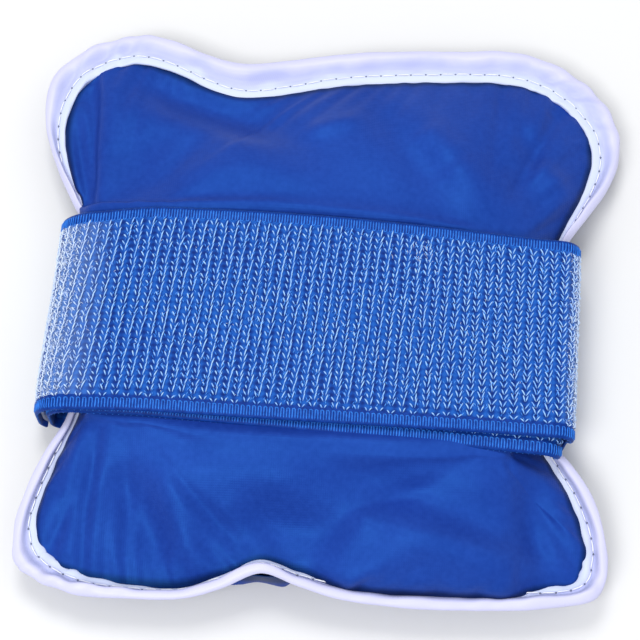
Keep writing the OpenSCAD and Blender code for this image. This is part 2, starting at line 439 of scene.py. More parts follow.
def plain_plastic(name, low, high, **sockets):
    """Moulded plastic or film with a faint mottle."""
    s = Shader(name, **sockets)
    here = s.place()
    s.link(s.ramp(s.noise(here, 120.0, 2.0), (0.3, low), (0.7, high)), "Base Color")
    s.bumped(s.noise(here, 600.0, 2.0), 0.15, 0.00005)
    return s.material


FRONT_NYLON = nylon("front_nylon", (0.008, 0.032, 0.25), (0.014, 0.052, 0.33))
BACK_NYLON = nylon("back_nylon", (0.007, 0.028, 0.23), (0.012, 0.045, 0.3))
TAPE = satin_tape("binding_tape")
WHITE_THREAD = thread_material("white_thread", (0.8, 0.83, 0.95), (0.95, 0.96, 1.0))
BLUE_THREAD = thread_material("blue_thread", (0.01, 0.05, 0.3), (0.02, 0.09, 0.42))
# Painted shade: a dark thread colour for the needle holes, standing in for the shade inside them.
HOLE_SHADE = thread_material("needle_hole", (0.1, 0.12, 0.22), (0.2, 0.22, 0.34))
GROUND = knit_ground()
PILE = yarn("strap_pile", (0.16, 0.4, 0.92), (0.44, 0.7, 1.0), 0.8, Specular_IOR_Level=0.3)
GROUND_LOOPS = yarn("strap_ground_loops", (0.015, 0.14, 0.6), (0.09, 0.33, 0.88), 0.5,
                    Specular_IOR_Level=0.2)
FUZZ = yarn("strap_fuzz", (0.7, 0.82, 1.0), (0.86, 0.92, 1.0), Specular_IOR_Level=0.3)
SELVEDGE = yarn("strap_selvedge", (0.012, 0.12, 0.54), (0.034, 0.225, 0.79), Specular_IOR_Level=0.2)
SELVEDGE_GROUND = yarn("strap_selvedge_ground", (0.001, 0.025, 0.2), (0.003, 0.045, 0.3),
                       Specular_IOR_Level=0.1)
HOOK_PLASTIC = plain_plastic("hook_plastic", (0.78, 0.8, 0.84), (0.9, 0.91, 0.94), Roughness=0.35)
FILM = plain_plastic("pouch_film", (0.6, 0.72, 0.9), (0.75, 0.84, 0.96), Roughness=0.15)
GEL = plain_plastic("gel", (0.05, 0.25, 0.7), (0.1, 0.4, 0.85), Roughness=0.1)

# ---- bound edge

# The bound edge, counter-clockwise from the lower left corner. Each row is where the tape's
# free edge meets the cover (x, y, z), then where the tape folds over the rim (x, y, z).
BOTTOM = [
    (-60.5, -61.5, 10, -66, -66, 11.5), (-52.5, -66, 10, -54, -70.8, 13),
    (-41, -68, 9.5, -41.5, -71.3, 14), (-29, -68, 9, -29, -70.8, 14.5),
    (-20.5, -65, 11, -20, -68.3, 15.5), (-11, -61.6, 14, -11, -64.6, 18),
    (-2.5, -63.2, 12, -2, -67, 16), (8, -64.4, 10.5, 8, -69.4, 14.2),
    (22, -64.8, 10, 22, -70.4, 13.4), (37, -64.4, 10, 37, -70.2, 13.2),
    (50, -63.8, 10, 51, -69.2, 13.4),
]
RIGHT = [
    (60.5, -62.5, 10, 65.8, -65.8, 12.5), (63.4, -57, 10.5, 68.3, -58, 12.8),
    (62.5, -50, 10.8, 67.4, -50.5, 13.2), (59.4, -42.5, 11, 64.2, -42, 14),
    (55.4, -36, 11, 59.8, -35.5, 14), (52, -29.5, 11, 55.6, -29.5, 13),
    (52, -18, 11, 55, -18, 12), (52, -7, 11, 55.4, -7, 11.5),
    (52.8, 8, 11, 56, 8, 11.5), (55, 18, 11, 57.4, 18.5, 12.5),
    (59, 27, 11, 63.2, 27.5, 12.5), (62.5, 35, 10.8, 68, 34.8, 11.5),
    (64.2, 42.5, 10.8, 70.8, 42.5, 10.5), (62.8, 49.5, 10.8, 70.8, 51, 10),
]
TOP = [
    (58, 55.5, 10.8, 66.4, 59.5, 9.8), (51, 60, 10.8, 57.5, 67, 10),
    (42, 62, 10.8, 45.5, 70.8, 10.5), (30, 61.6, 10.8, 31, 70.2, 10.8),
    (14, 60.4, 10.8, 14, 69.2, 10.8), (0, 58.6, 10.8, -0.5, 67.4, 10.8),
    (-12, 55.8, 10.8, -11, 65.4, 10.8), (-22, 54.2, 10.8, -22, 63.6, 11.2),
    (-30.5, 56.4, 10.8, -31.5, 65.6, 11), (-39, 60.2, 10.8, -41, 69.2, 10.8),
    (-48, 62.2, 10.8, -50, 70.2, 10.2),
]
LEFT = [
    (-57, 59.6, 10.8, -61.5, 66.2, 9.8), (-62.5, 54.5, 10.8, -68.5, 59.5, 9.8),
    (-65, 47, 10.8, -70.8, 51.5, 10), (-65, 40, 10.8, -69.8, 42.5, 10.8),
    (-62.8, 32, 11, -66.2, 33, 11.5), (-59.2, 24.5, 11, -62, 25, 12),
    (-55.8, 16.5, 11, -58, 17, 12), (-54.2, 5, 11, -57, 5, 11.5),
    (-54, -8, 11, -57, -8, 11.5), (-54.4, -20, 11, -57, -20, 12),
    (-55.8, -30, 11, -58.2, -30, 13), (-59.2, -39.5, 11, -62.8, -39.5, 14),
    (-62, -48.5, 10.6, -66.4, -49, 13), (-63.2, -55.5, 10.2, -68.2, -58, 11.8),
]
EDGE_ROWS = np.array(BOTTOM + RIGHT + TOP + LEFT)
CORNERS = np.cumsum([0, len(BOTTOM), len(RIGHT), len(TOP), len(LEFT)])


def closed_curve(rows, t):
    """Catmull-Rom curve through rows, closed; t counts rows."""
    n = len(rows)
    i = np.floor(t).astype(int)
    f = (t - i)[:, None]
    a, b, c, d = (rows[(i + k) % n] for k in (-1, 0, 1, 2))
    return 0.5 * (2 * b + (c - a) * f + (2 * a - 5 * b + 4 * c - d) * f**2
                  + (3 * b - a - 3 * c + d) * f**3)


FINE = np.arange(0, len(EDGE_ROWS), 0.02)
FINE_EDGE = closed_curve(EDGE_ROWS, FINE)
RIM = FINE_EDGE[:, 3:] * 0.4 + FINE_EDGE[:, :3] * 0.6
STEPS = np.linalg.norm(np.roll(RIM, -1, 0) - RIM, axis=1)
TRAVEL = np.concatenate([[0], np.cumsum(STEPS)])
PERIMETER = TRAVEL[-1]
TURNS = np.concatenate([FINE, [len(EDGE_ROWS)]])


def edge_frame(travel):
    """Free edge, direction across the tape, its width and the tape's normal at a travel in mm."""
    t = np.interp(travel % PERIMETER, TRAVEL, TURNS)
    here = closed_curve(EDGE_ROWS, t)
    ahead = closed_curve(EDGE_ROWS, t + 0.01)
    inner, outer = here[:, :3], here[:, 3:]
    across = outer - inner
    width = np.linalg.norm(across, axis=1)
    across = unit(across)
    along = unit((ahead[:, :3] - inner) + (ahead[:, 3:] - outer))
    normal = unit(np.cross(across, along))
    return inner, across, width, normal


def wobble(travel, period, seed):
    """A smooth wandering value from -1 to 1 that repeats round the pack."""
    turns = max(1, round(PERIMETER / period))
    local = np.random.default_rng(seed)
    total = np.zeros_like(travel, dtype=float)
    for k in range(1, 4):
        wave = turns * k * 0.6 + 1
        total += np.sin(2 * np.pi * travel / PERIMETER * round(wave) + local.uniform(0, 6.28)) / k
    return total / 1.9


# Tape section from the free edge on the front, over the fold, to the free edge on the back:
# share of the width, height in mm, and how much of the roll and the puckers each point takes.
SECTION = [
    (0, -0.3, 0, 0.3), (-0.012, 0.1, 0, 0.4), (0.015, 0.36, 0, 0.5), (0.08, 0.44, 0, 0.5),
    (0.16, 0.42, 0, 0.4), (0.24, 0.34, 0, 0.2), (0.3, 0.24, 0, 0.1), (0.36, 0.12, 0, 0.3),
    (0.43, 0.1, 0.05, 0.8), (0.51, 0.18, 0.3, 1), (0.6, 0.34, 0.72, 1), (0.69, 0.48, 0.98, 0.9),
    (0.78, 0.52, 1.05, 0.7), (0.86, 0.48, 0.85, 0.5), (0.93, 0.4, 0.5, 0.3), (0.975, 0.24, 0.2, 0.2),
    (1, 0, 0, 0.1), (0.985, -0.3, -0.2, 0.1), (0.94, -0.5, -0.35, 0.2), (0.84, -0.62, -0.4, 0.4),
    (0.7, -0.66, -0.3, 0.6), (0.52, -0.72, -0.1, 0.6), (0.36, -0.84, 0, 0.3), (0.26, -0.94, 0, 0.2),
    (0.14, -1.04, 0, 0.4), (0.04, -1.06, 0, 0.5), (-0.005, -0.94, 0, 0.4), (0, -0.7, 0, 0.3),
]


def tape_point(travel, share, height, roll_part, pucker_part):
    """Points on the tape; every argument is an array of the same shape."""
    shape = travel.shape
    flat = travel.ravel()
    inner, across, width, normal = edge_frame(flat)
    corner = corner_share(flat)
    share, height = share.ravel(), height.ravel()
    roll = 0.8 + 0.35 * wobble(flat, 70, 3) + 0.25 * wobble(flat, 24, 4)
    slanted = flat + 5.5 * share * (1 + 0.8 * wobble(flat, 60, 9))
    wave = np.sin(2 * np.pi * slanted / 8.3 + 2.2 * wobble(slanted, 34, 5))
    creased = np.sign(wave) * np.abs(wave) ** 0.7
    pleat = creased * (0.14 + 0.8 * corner) + 0.42 * wobble(slanted, 17, 6)
    drawn_in = np.where(inner[:, 1] < 0, 0.45, 0.12) * corner
    scallop = drawn_in * np.abs(np.sin(np.pi * flat / STITCH_PITCH)) + 0.12 * wobble(flat, 9, 8)
    rise = height + roll_part.ravel() * roll + 0.6 * pucker_part.ravel() * pleat
    reach = share * width - scallop * np.clip(1 - share * 5, 0, 1) + 0.25 * pleat * np.clip(share, 0, 1)
    return (inner + across * reach[:, None] + normal * rise[:, None]).reshape(*shape, 3)


def corner_share(travel):
    """1 at the pack's four rounded corners, 0 along its sides."""
    total = np.zeros_like(travel, dtype=float)
    for k, reach in zip(CORNERS[:4], (26, 22, 20, 26)):
        middle = np.interp(k + 0.4, TURNS, TRAVEL)
        apart = np.abs((travel - middle + PERIMETER / 2) % PERIMETER - PERIMETER / 2)
        total = np.maximum(total, smooth(1 - apart / reach))
    return total


STITCH_COUNT = int(round(PERIMETER / 3.75))
STITCH_PITCH = PERIMETER / STITCH_COUNT
STITCH_INSET = 2.1


def make_binding():
    """The satin tape folded over the covers' edge, with its roll, puckers and scallops."""
    rows = int(PERIMETER / 0.7)
    travel = np.arange(rows) * PERIMETER / rows
    section = np.array(SECTION)
    grid = np.broadcast_to(travel[:, None], (rows, len(section)))
    parts = [np.broadcast_to(section[:, k], grid.shape) for k in range(4)]
    points = tape_point(grid, *parts).reshape(-1, 3)
    faces = grid_faces(rows + 1, len(section), wrap=True) % len(points)
    cloth = np.stack([grid, parts[0] * 7.5, parts[1]], -1)
    tape = piece("edge_binding_tape", points, faces, [TAPE], attribute=cloth)
    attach(tape, "pack")
    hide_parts("edge_binding")


def on_seam(travel, line_at, height):
    """Points of the stitch line, line_at mm in from the tape's free edge, and the tape's normals."""
    _, _, width, normal = edge_frame(travel.ravel())
    share = np.clip(line_at / width.reshape(travel.shape), 0, 0.6)
    lines = tape_point(travel, share, height, np.zeros_like(travel), np.full_like(travel, 0.1))
    return lines, normal.reshape(*travel.shape, 3)


def make_stitches(name, node, side):
    """One lockstitch thread: a short bar of thread per stitch that dips into the tape."""
    lean = 0.06
    u = np.linspace(0, 1, 7)
    start = np.arange(STITCH_COUNT) * STITCH_PITCH
    travel = start[:, None] + STITCH_PITCH * (0.07 + 0.86 * u)[None]
    line_at = (STITCH_INSET + 0.1 * np.sin(start * 7.3))[:, None] + lean * (u - 0.5)
    lift = np.where(np.sin(np.pi * u) > 0.3, 0.16, -0.12) * np.ones_like(travel)
    base = 0.36 if side > 0 else -0.9
    lines, normal = on_seam(travel, line_at, base + side * lift)
    radii = 0.19 * np.array([0.55, 0.9, 1, 1, 1, 0.9, 0.55])
    points, quads = tubes(lines, normal[:, 3] * side, radii)
    thread = piece(name, points, quads, [WHITE_THREAD])
    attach(thread, "pack")
    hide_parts(node)


def make_needle_holes():
    """Small dark tubes of painted shade in the dimples where the needle went through, between the
    stitches.
    """
    travel = np.repeat((np.arange(STITCH_COUNT) * STITCH_PITCH)[:, None], 2, 1)
    lines, _ = on_seam(travel, STITCH_INSET, np.broadcast_to(np.array([0.1, 0.44]), travel.shape))
    ups = np.broadcast_to(np.array([0.3, 0.9, 0.1]), (STITCH_COUNT, 3))
    points, quads = tubes(lines, ups, [0.25, 0.25])
    holes = piece("binding_needle_holes", points, quads, [HOLE_SHADE])
    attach(holes, "pack")


# ---- covers and pouch

GRID = 97
CLOTH_FRAMES = 26
UNDER_TAPE = 0.14
# Highest point of the front cover and lowest of the back one, where the strap crosses them.
FRONT_ROOM = TURN_HIGH[2] - 1.5 - 0.5
BACK_ROOM = 3.9


def edge_side(first, last, height):
    """Points along one side of the cover, evenly spaced, under the tape."""
    low, high = np.interp([first, last], TURNS, TRAVEL)
    travel = np.linspace(low, high, GRID)
    inner, across, width, normal = edge_frame(travel)
    return inner + across * (UNDER_TAPE * width)[:, None] + normal * height


def cover_patch(height):
    """A grid of points stretched between the four sides of the bound edge."""
    south, east, north, west = (edge_side(CORNERS[k], CORNERS[k + 1], height) for k in range(4))
    north, west = north[::-1], west[::-1]
    u = np.linspace(0, 1, GRID)[None, :, None]
    v = np.linspace(0, 1, GRID)[:, None, None]
    ruled_v = south[None] * (1 - v) + north[None] * v
    ruled_u = west[:, None] * (1 - u) + east[:, None] * u
    corners = (south[0] * (1 - u) * (1 - v) + south[-1] * u * (1 - v)
               + north[0] * (1 - u) * v + north[-1] * u * v)
    return ruled_v + ruled_u - corners


def crown_of(power, root):
    """How full the cover is at each grid point: 0 on the seam, 1 in the middle."""
    u = np.abs(np.linspace(-1, 1, GRID))
    edge = np.maximum(1 - u**power, 0) ** root
    return edge[None, :] * edge[:, None]


# Creases and swells of the front cover: start, end, half width and height, in mm.
FRONT_FOLDS = [
    (-46, 56, -8, 42, 4.5, -2.4), (-46, 47, -16, 37, 5, 1.6), (-6, 43, 6, 48, 2.5, 1.2),
    (-36, 34, 0, 24, 8, 2), (-50, 40, -44, 22, 6, -1.5), (22, 46, 30, 37, 5, 1.4),
    (10, 52, 26, 30, 5, -1.3), (30, 38, 38, 20, 5, 1.5), (46, 48, 50, 38, 3, -1.5),
    (50, 38, 58, 32, 3, 1.2), (44, 40, 50, 24, 4.5, -1.4), (57, 30, 50, 20, 3, 1.3),
    (-57, -33, -60, -50, 2.5, -1.5), (-53, -33, -57, -52, 2.5, 1), (-50, -34, -54, -56, 2, -1),
    (-47, -42, -31, -62, 5, -2.6), (-35, -42, -26, -62, 4, 1.8), (-30, -40, 0, -44, 6, 1.6),
    (-20, -55, 12, -52, 6, -2.6), (2, -38, 44, -52, 5, -2.8), (0, -50, 58, -64, 4.5, 2.4),
    (49, -38, 53, -58, 4, -2.6), (-10, -60, -20, -48, 3, 1.2), (6, -60, 14, -50, 3, 1.2),
    (54, -38, 62, -58, 2, 0.8), (20, -62, 52, -62, 3, -0.6),
]


def fold_heights(points, folds):
    """Sum of all folds at each point; a fold fades out at both of its ends."""
    total = np.zeros(points.shape[:2])
    for x0, y0, x1, y1, half, height in folds:
        start, way = np.array([x0, y0]), np.array([x1 - x0, y1 - y0])
        local = points[..., :2] - start
        along = np.clip(local @ way / (way @ way), 0, 1)
        apart = np.linalg.norm(local - along[..., None] * way, axis=-1)
        fade = smooth(1.15 * np.sin(np.pi * np.clip(0.12 + 0.76 * along, 0, 1)))
        total += height * fade * np.exp(-((apart / half) ** 2))
    return total


def clouds(points, size, seed):
    """Smooth random hills about size mm wide, from a few sine waves."""
    local = np.random.default_rng(seed)
    total = np.zeros(points.shape[:2])
    for _ in range(9):
        angle, phase = local.uniform(0, 2 * np.pi, 2)
        wave = local.uniform(0.6, 1.5) * 2 * np.pi / size
        along = points[..., 0] * math.cos(angle) + points[..., 1] * math.sin(angle)
        total += np.sin(wave * along + phase)
    return total / 3


def settle_cloth(points, blocks, push, spare, most):
    """Runs Blender's cloth on a pinned panel, ten times life size, and returns where it comes to rest.

    blocks are grids of points that the cloth can't pass, push is the pressure on its face, spare is
    how much longer than its frame the cloth is cut, and most is how far a point may move, in mm.
    """
    scale = 10.0
    size = points.shape[0]
    panel = piece("panel", points * scale, grid_faces(size, size), [])
    held = panel.vertex_groups.new(name="held")
    held.add(np.flatnonzero(border(size).ravel()).tolist(), 1.0, "REPLACE")
    walls = []
    for block in blocks:
        wall = piece("wall", block * scale, grid_faces(*block.shape[:2]), [])
        wall.modifiers.new("stop", "COLLISION")
        wall.collision.thickness_outer = 0.002
        wall.collision.cloth_friction = 5
        walls.append(wall)
    cloth = panel.modifiers.new("cloth", "CLOTH")
    how = cloth.settings
    how.quality = 7
    how.mass = 0.2
    how.air_damping = 2
    how.tension_stiffness = how.compression_stiffness = 25
    how.shear_stiffness = 8
    how.bending_stiffness = 0.6
    how.tension_damping = how.compression_damping = 12
    how.use_pressure = True
    how.uniform_pressure_force = push
    how.shrink_min = how.shrink_max = -spare
    how.vertex_group_mass = "held"
    how.effector_weights.gravity = 0
    cloth.collision_settings.distance_min = 0.004
    cloth.collision_settings.collision_quality = 3
    cloth.collision_settings.use_self_collision = False
    cloth.point_cache.frame_end = CLOTH_FRAMES
    for moment in range(1, CLOTH_FRAMES + 1):
        scene.frame_set(moment)
    settled = panel.evaluated_get(bpy.context.evaluated_depsgraph_get()).data
    flat = np.empty(len(settled.vertices) * 3)
    settled.vertices.foreach_get("co", flat)
    rest = flat.reshape(points.shape) / MM / scale
    scene.frame_set(1)
    for used in [panel] + walls:
        bpy.data.objects.remove(used, do_unlink=True)
    step = rest - points
    far = np.linalg.norm(step, axis=-1, keepdims=True)
    return points + step * np.minimum(1, most / np.maximum(far, 1e-6))


# Where the gel hangs out over the seam: middle and half width in x, the y it hangs at, how deep
# the bulge is in y, its push out in mm and its push up in mm.
FRONT_BELLY = [(27, 35, -62.5, 6.0, -4.6, 2.4), (-24, 14, -62.5, 5.0, -1.0, 0.6)]
BACK_BELLY = [(-12, 14, -59.5, 5.5, -6.4, 1.0)]


def belly(points, bulges):
    """How far each point of a cover is pushed out and up by the gel that hangs over the seam."""
    push = np.zeros_like(points)
    for middle, half, level, deep, out, up in bulges:
        share = smooth(1.8 * bump(points[..., 0], middle, half)) * bump(points[..., 1], level, deep)
        push[..., 1] += out * share
        push[..., 2] += up * share
    return push


def front_surface():
    """Resting shape of the front cover: pillow crown, pressed flat under the strap."""
    points = cover_patch(-0.55)
    full = crown_of(2.8, 0.55)
    off_strap = smooth((np.abs(points[..., 1] - OUTER_Y) - STRAP_HALF - 1) / 15)
    points[..., 2] += full * (FRONT_ROOM - 0.6 + 0.9 * off_strap - points[..., 2])
    points += belly(points, FRONT_BELLY)
    travel, across = np.meshgrid(np.linspace(CORNER_S[1] - 4, CORNER_S[2] + 12, 50),
                                 np.linspace(-STRAP_HALF - 1, STRAP_HALF + 1, 14), indexing="ij")
    flare = 1.8 * smooth((np.abs(across) - STRAP_HALF + 4) / 5)
    strap_face = on_band(travel, across, flare - BASE_HALF - 0.25)
    rest = settle_cloth(points, [strap_face], 5.0, 0.02, 4.0)
    wrinkle = fold_heights(rest, FRONT_FOLDS) + 0.15 * clouds(rest, 30, 11)
    rest[..., 2] += wrinkle * smooth(full * 2.2) * off_strap
    under = rest.copy()
    under[..., 2] = FRONT_Z - BASE_HALF
    beside = smooth((np.abs(rest[..., 1] - OUTER_Y) - STRAP_HALF + 2) / 8)
    rest[..., 2] = np.minimum(rest[..., 2], settle(under)[..., 2] - 0.45 + 5 * beside)
    return rest


def back_surface():
    """Resting shape of the back cover: flattened on the table, lifted over the strap."""
    points = cover_patch(-0.75)
    full = np.minimum(1, 1.15 * crown_of(3.4, 0.5))
    off_strap = smooth((np.abs(points[..., 1] - OUTER_Y) - STRAP_HALF - 2) / 13)
    floor = BACK_ROOM * (1 - off_strap) + 0.1
    drop = full * (points[..., 2] - floor)
    wrinkle = 0.35 * clouds(points, 24, 12) * smooth(full * 1.6) * off_strap
    points[..., 2] = np.maximum(points[..., 2] - drop + wrinkle, floor)
    across, along = np.meshgrid(np.linspace(-75, 75, 12), np.linspace(-75, 75, 61))
    step = smooth((np.abs(along - OUTER_Y) - STRAP_HALF - 2) / 4)
    ground = np.stack([across, along, BACK_ROOM - (BACK_ROOM - 0.1) * step], -1)
    points += belly(points, BACK_BELLY)
    rest = settle_cloth(points, [ground], -4.0, 0.02, 3.0)
    rest[..., 2] = np.maximum(rest[..., 2], 0.1)
    return rest


def make_cover(name, node, points, material, side):
    """A filled cover panel of nylon, with a little thickness turned inwards."""
    faces = grid_faces(GRID, GRID)
    if side < 0:
        faces = faces[:, ::-1]
    # The cloth attribute's Z holds the grid steps from the seam; the nylon uses it to paint shade along
    # the tape's edge.
    step = np.minimum(np.arange(GRID), np.arange(GRID)[::-1])
    rim = np.minimum(step[:, None], step[None, :])
    cloth = np.concatenate([points[..., :2], rim[..., None]], -1)
    cover = piece(name, points, faces, [material], attribute=cloth)
    thick = cover.modifiers.new("thickness", "SOLIDIFY")
    thick.thickness = 0.35 * MM
    fine = cover.modifiers.new("fine", "SUBSURF")
    fine.levels = fine.render_levels = 1
    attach(cover, "pack")
    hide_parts(node)


def shrunk(points, share, level, room):
    """A cover's shape drawn in towards the middle of the pack, for what lies inside it."""
    side = 1 if points[..., 2].mean() > level else -1
    height = side * (points[..., 2] - level)
    for _ in range(9):
        wide = np.pad(height, 1, mode="edge")
        height = np.min([wide[i:i + GRID, j:j + GRID] for i in range(3) for j in range(3)], axis=0)
    inside = points.copy()
    inside[..., :2] *= share
    inside[..., 2] = level + side * np.maximum(height * room, 0.05)
    return inside[::3, ::3]


def make_inside(front, back):
    """The sealed pouch's two films and the gel between them, drawn in from the covers."""
    level = box_mm("gel_pouch_front_film")[0][2]
    for name, node, points, way in (("pouch_front", "gel_pouch_front_film", front, 1),
                                    ("pouch_back", "gel_pouch_back_film", back, -1)):
        skin = shrunk(points, 0.93, level, 0.8)
        faces = grid_faces(*skin.shape[:2])[:, ::way]
        film = piece(name, skin, faces, [FILM])
        thick = film.modifiers.new("thickness", "SOLIDIFY")
        thick.thickness = 0.2 * MM
        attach(film, "pack")
        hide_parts(node)
    top, low = shrunk(front, 0.9, level, 0.7), shrunk(back, 0.9, level, 0.7)
    size = top.shape[0]
    edge = border(size)
    middle = (top + low) / 2
    top[edge], low[edge] = middle[edge], middle[edge]
    gel = Gather()
    gel.add(top, grid_faces(size, size), 0, top)
    gel.add(low, grid_faces(size, size)[:, ::-1], 0, low)
    body = gel.piece("gel_body", [GEL])
    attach(body, "pack")
    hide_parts("gel_fill")


def dye_anchor_stitches():
    """The box stitch at the strap's sewn end keeps its CAD shape, in blue thread."""
    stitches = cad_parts["strap_anchor_stitches"]
    stitches.data.materials.clear()
    stitches.data.materials.append(BLUE_THREAD)


front_shape = front_surface()
back_shape = back_surface()
make_cover("front_cover_nylon", "front_cover", front_shape, FRONT_NYLON, 1)
make_cover("back_cover_nylon", "back_cover", back_shape, BACK_NYLON, -1)
make_binding()
make_stitches("binding_top_thread", "binding_needle_thread", 1)
make_stitches("binding_under_thread", "binding_bobbin_thread", -1)
make_needle_holes()
make_inside(front_shape, back_shape)
dye_anchor_stitches()

# ---- strap pieces

WALE = 2.47
COURSE = 1.64
PILE_HALF = 21.9
PILE_TOP = 0.62
SNAG_S, SNAG_V = 39.0, 17.5
SELVEDGE_PITCH = 1.3


def lay_yarns(gather, slot, radii, ups, s, v, h):
    """Tubes of yarn on the strap, each point at s along it, v across it and h out of its base."""
    points, quads = tubes(on_band(s, v, h), ups, radii)
    cloth = np.stack(np.broadcast_arrays(s, v, h), -1).reshape(-1, 3)
    gather.add(points, quads, slot, np.repeat(cloth, 4, axis=0))


def wale_lean(s):
    """Slant of the wales: upright at the right end of the front run, leaning at the left."""
    return 0.01 + 0.085 * smooth((s - CORNER_S[5] - 10) / 70)


def strap_base(gather, low, high):
    """The elastic's own body: rounded selvedges and soft ribs between the wales."""
    rows = max(6, int((high - low) / 0.55))
    s = np.linspace(low, high, rows)
    top_v = np.concatenate([[-STRAP_HALF, -STRAP_HALF + 0.25], np.linspace(-24.4, -22.6, 4),
                            np.linspace(-21.7, 21.7, 57), np.linspace(22.6, 24.4, 4),
                            [STRAP_HALF - 0.25, STRAP_HALF]])
    lift = np.where(np.abs(top_v) > 22.2, 0.5, 0.36)
    lift[[0, -1]], lift[[1, -2]] = 0.0, 0.36
    under_v = np.linspace(STRAP_HALF - 0.2, -STRAP_HALF + 0.2, 25)
    v = np.concatenate([top_v, under_v])
    h = np.concatenate([lift, np.full(len(under_v), -BASE_HALF)])
    ribbed = (np.abs(v) < 22) & (h > 0)
    ss, vv = np.meshgrid(s, v, indexing="ij")
    wales = 0.13 * np.cos(2 * np.pi * (ss + wale_lean(ss) * vv) / WALE)
    rib = wales - 0.06 * np.cos(2 * np.pi * vv / COURSE)
    hh = h[None] + rib * ribbed[None]
    woven = np.where(np.abs(v) > 21.7, 3, 0)
    gather.add(on_band(ss, vv, hh), grid_faces(rows, len(v), wrap=True), np.tile(woven, rows - 1),
               np.stack([ss, vv, hh], -1))


def strap_pile(gather, low, high):
    """White knit pile: one long and one short raised stroke for each stitch."""
    wales = np.arange(math.ceil(low / WALE - 0.5), math.ceil(high / WALE - 0.5))
    courses = np.arange(-math.floor(PILE_HALF / COURSE), math.floor(PILE_HALF / COURSE) + 1)
    w, c = (a.ravel() for a in np.meshgrid(wales, courses, indexing="ij"))
    local = np.random.default_rng(SEED + int(low))
    jitter = local.normal(0, 1, (9, len(w)))
    v0 = c * COURSE + 0.2 * COURSE * (w % 2) + 0.09 * jitter[0] - 0.7
    s0 = (w + 0.5) * WALE
    s0 = s0 - wale_lean(s0) * v0 + 0.08 * jitter[1]
    even = smooth((CORNER_S[5] + 48 - s0) / 34) * (s0 > CORNER_S[5] - 20)
    rim = smooth((PILE_HALF - np.abs(v0) + 0.2) / 2.2)
    u = np.linspace(0, 1, 5)[None]
    arch = np.sin(np.pi * (0.08 + 0.84 * u))
    for way, own, near, reach, rise, more, thick in ((-1, 2, 0.2, 0.56, 2.15, -0.35, 0.14),
                                                     (1, 4, 0.28, 0.56, 1.15, 0.6, 0.155)):
        tall = rise + more * even + 0.2 * jitter[own]
        wide = reach + 0.25 * even + 0.15 * jitter[own + 1]
        top = PILE_TOP + 0.07 * jitter[6] - (0.06 if way > 0 else 0)
        s = s0[:, None] + way * (near - 0.14 * even[:, None] + wide[:, None] * u)
        v = v0[:, None] + np.minimum(tall, rim * 3 + 0.8)[:, None] * u
        h = 0.16 + top[:, None] * arch
        lay_yarns(gather, 1, thick * np.array([0.55, 1, 1.1, 1, 0.5]), band_normal(s0, v0), s, v, h)
    if low > CORNER_S[3]:
        strap_ground_loops(gather, low, high, local)


def strap_ground_loops(gather, low, high, local):
    """Fine darker loops of the ground knit that show between the raised strokes."""
    count = int((high - low) * 2 * PILE_HALF * 0.42)
    s0 = local.uniform(low, high, count)
    v0 = local.uniform(-PILE_HALF, PILE_HALF, count)
    way = np.where(local.uniform(0, 1, count) < 0.5, -1, 1)
    u = np.linspace(0, 1, 4)[None]
    s = s0[:, None] + (way * 0.42)[:, None] * u
    v = v0[:, None] + 0.8 * u
    h = 0.4 + 0.34 * np.sin(np.pi * u)
    lay_yarns(gather, 5, 0.13 * np.array([0.6, 1, 1, 0.6]), band_normal(s0, v0), s, v, h)


def strap_fuzz(gather, low, high):
    """Worn, brushed-up loops: thick where the strap turns, thin elsewhere on its front."""
    local = np.random.default_rng(SEED + 7 + int(low))
    count = int((high - low) * 150)
    s0 = local.uniform(low + 0.4, high - 0.4, count)
    v0 = local.uniform(-PILE_HALF, PILE_HALF, count)
    turned = np.maximum(np.exp(-(((s0 - CORNER_S[6] - 7) / 4.5) ** 2)),
                        0.8 * np.exp(-(((s0 - CORNER_S[5] - 1) / 3) ** 2)))
    snag = np.exp(-(((s0 - CORNER_S[5] - SNAG_S) / 3.2) ** 2) - ((v0 - SNAG_V) / 2.6) ** 2)
    kept = local.uniform(0, 1, count) < 0.01 + turned + 0.28 * snag
    s0, v0 = s0[kept], v0[kept]
    spread = local.normal(0, 1, (4, len(s0)))
    u = np.linspace(0, 1, 5)[None]
    s = s0[:, None] + (0.3 * spread[0])[:, None] * u + 0.12 * spread[1][:, None] * np.sin(np.pi * u)
    v = v0[:, None] + (0.3 + 0.45 * spread[2])[:, None] * u
    h = 0.25 + (0.58 + 0.1 * spread[3])[:, None] * np.sin(np.pi * (0.06 + 0.88 * u))
    s, v = np.clip(s, low, high), np.clip(v, -22.3, 22.3)
    lay_yarns(gather, 4, 0.042 * np.array([0.8, 1, 1, 1, 0.7]), band_normal(s0, v0), s, v, h)


def strap_selvedges(gather, low, high):
    """The woven edge: one yarn that runs to and fro across each selvedge."""
    turns = np.arange(math.ceil(low / SELVEDGE_PITCH), math.ceil(high / SELVEDGE_PITCH))
    shape = np.array([(-0.32, 0.0), (-0.32, 0.35), (-0.32, 0.65), (-0.26, 0.93), (0, 1.0), (0.26, 0.93),
                      (0.32, 0.65), (0.32, 0.35), (0.38, 0.07), (0.65, 0.0)])
    s = (turns[:, None] * SELVEDGE_PITCH + shape[None, :, 0]).ravel()
    across = np.tile(shape[:, 1], len(turns))
    for side in (-1, 1):
        v = side * (22.5 + 2.85 * across)
        h = 0.56 - 0.75 * smooth((across - 0.78) / 0.24)
        lay_yarns(gather, 2, np.full(len(s), 0.17), band_normal(s, v)[None], s[None], v[None], h[None])


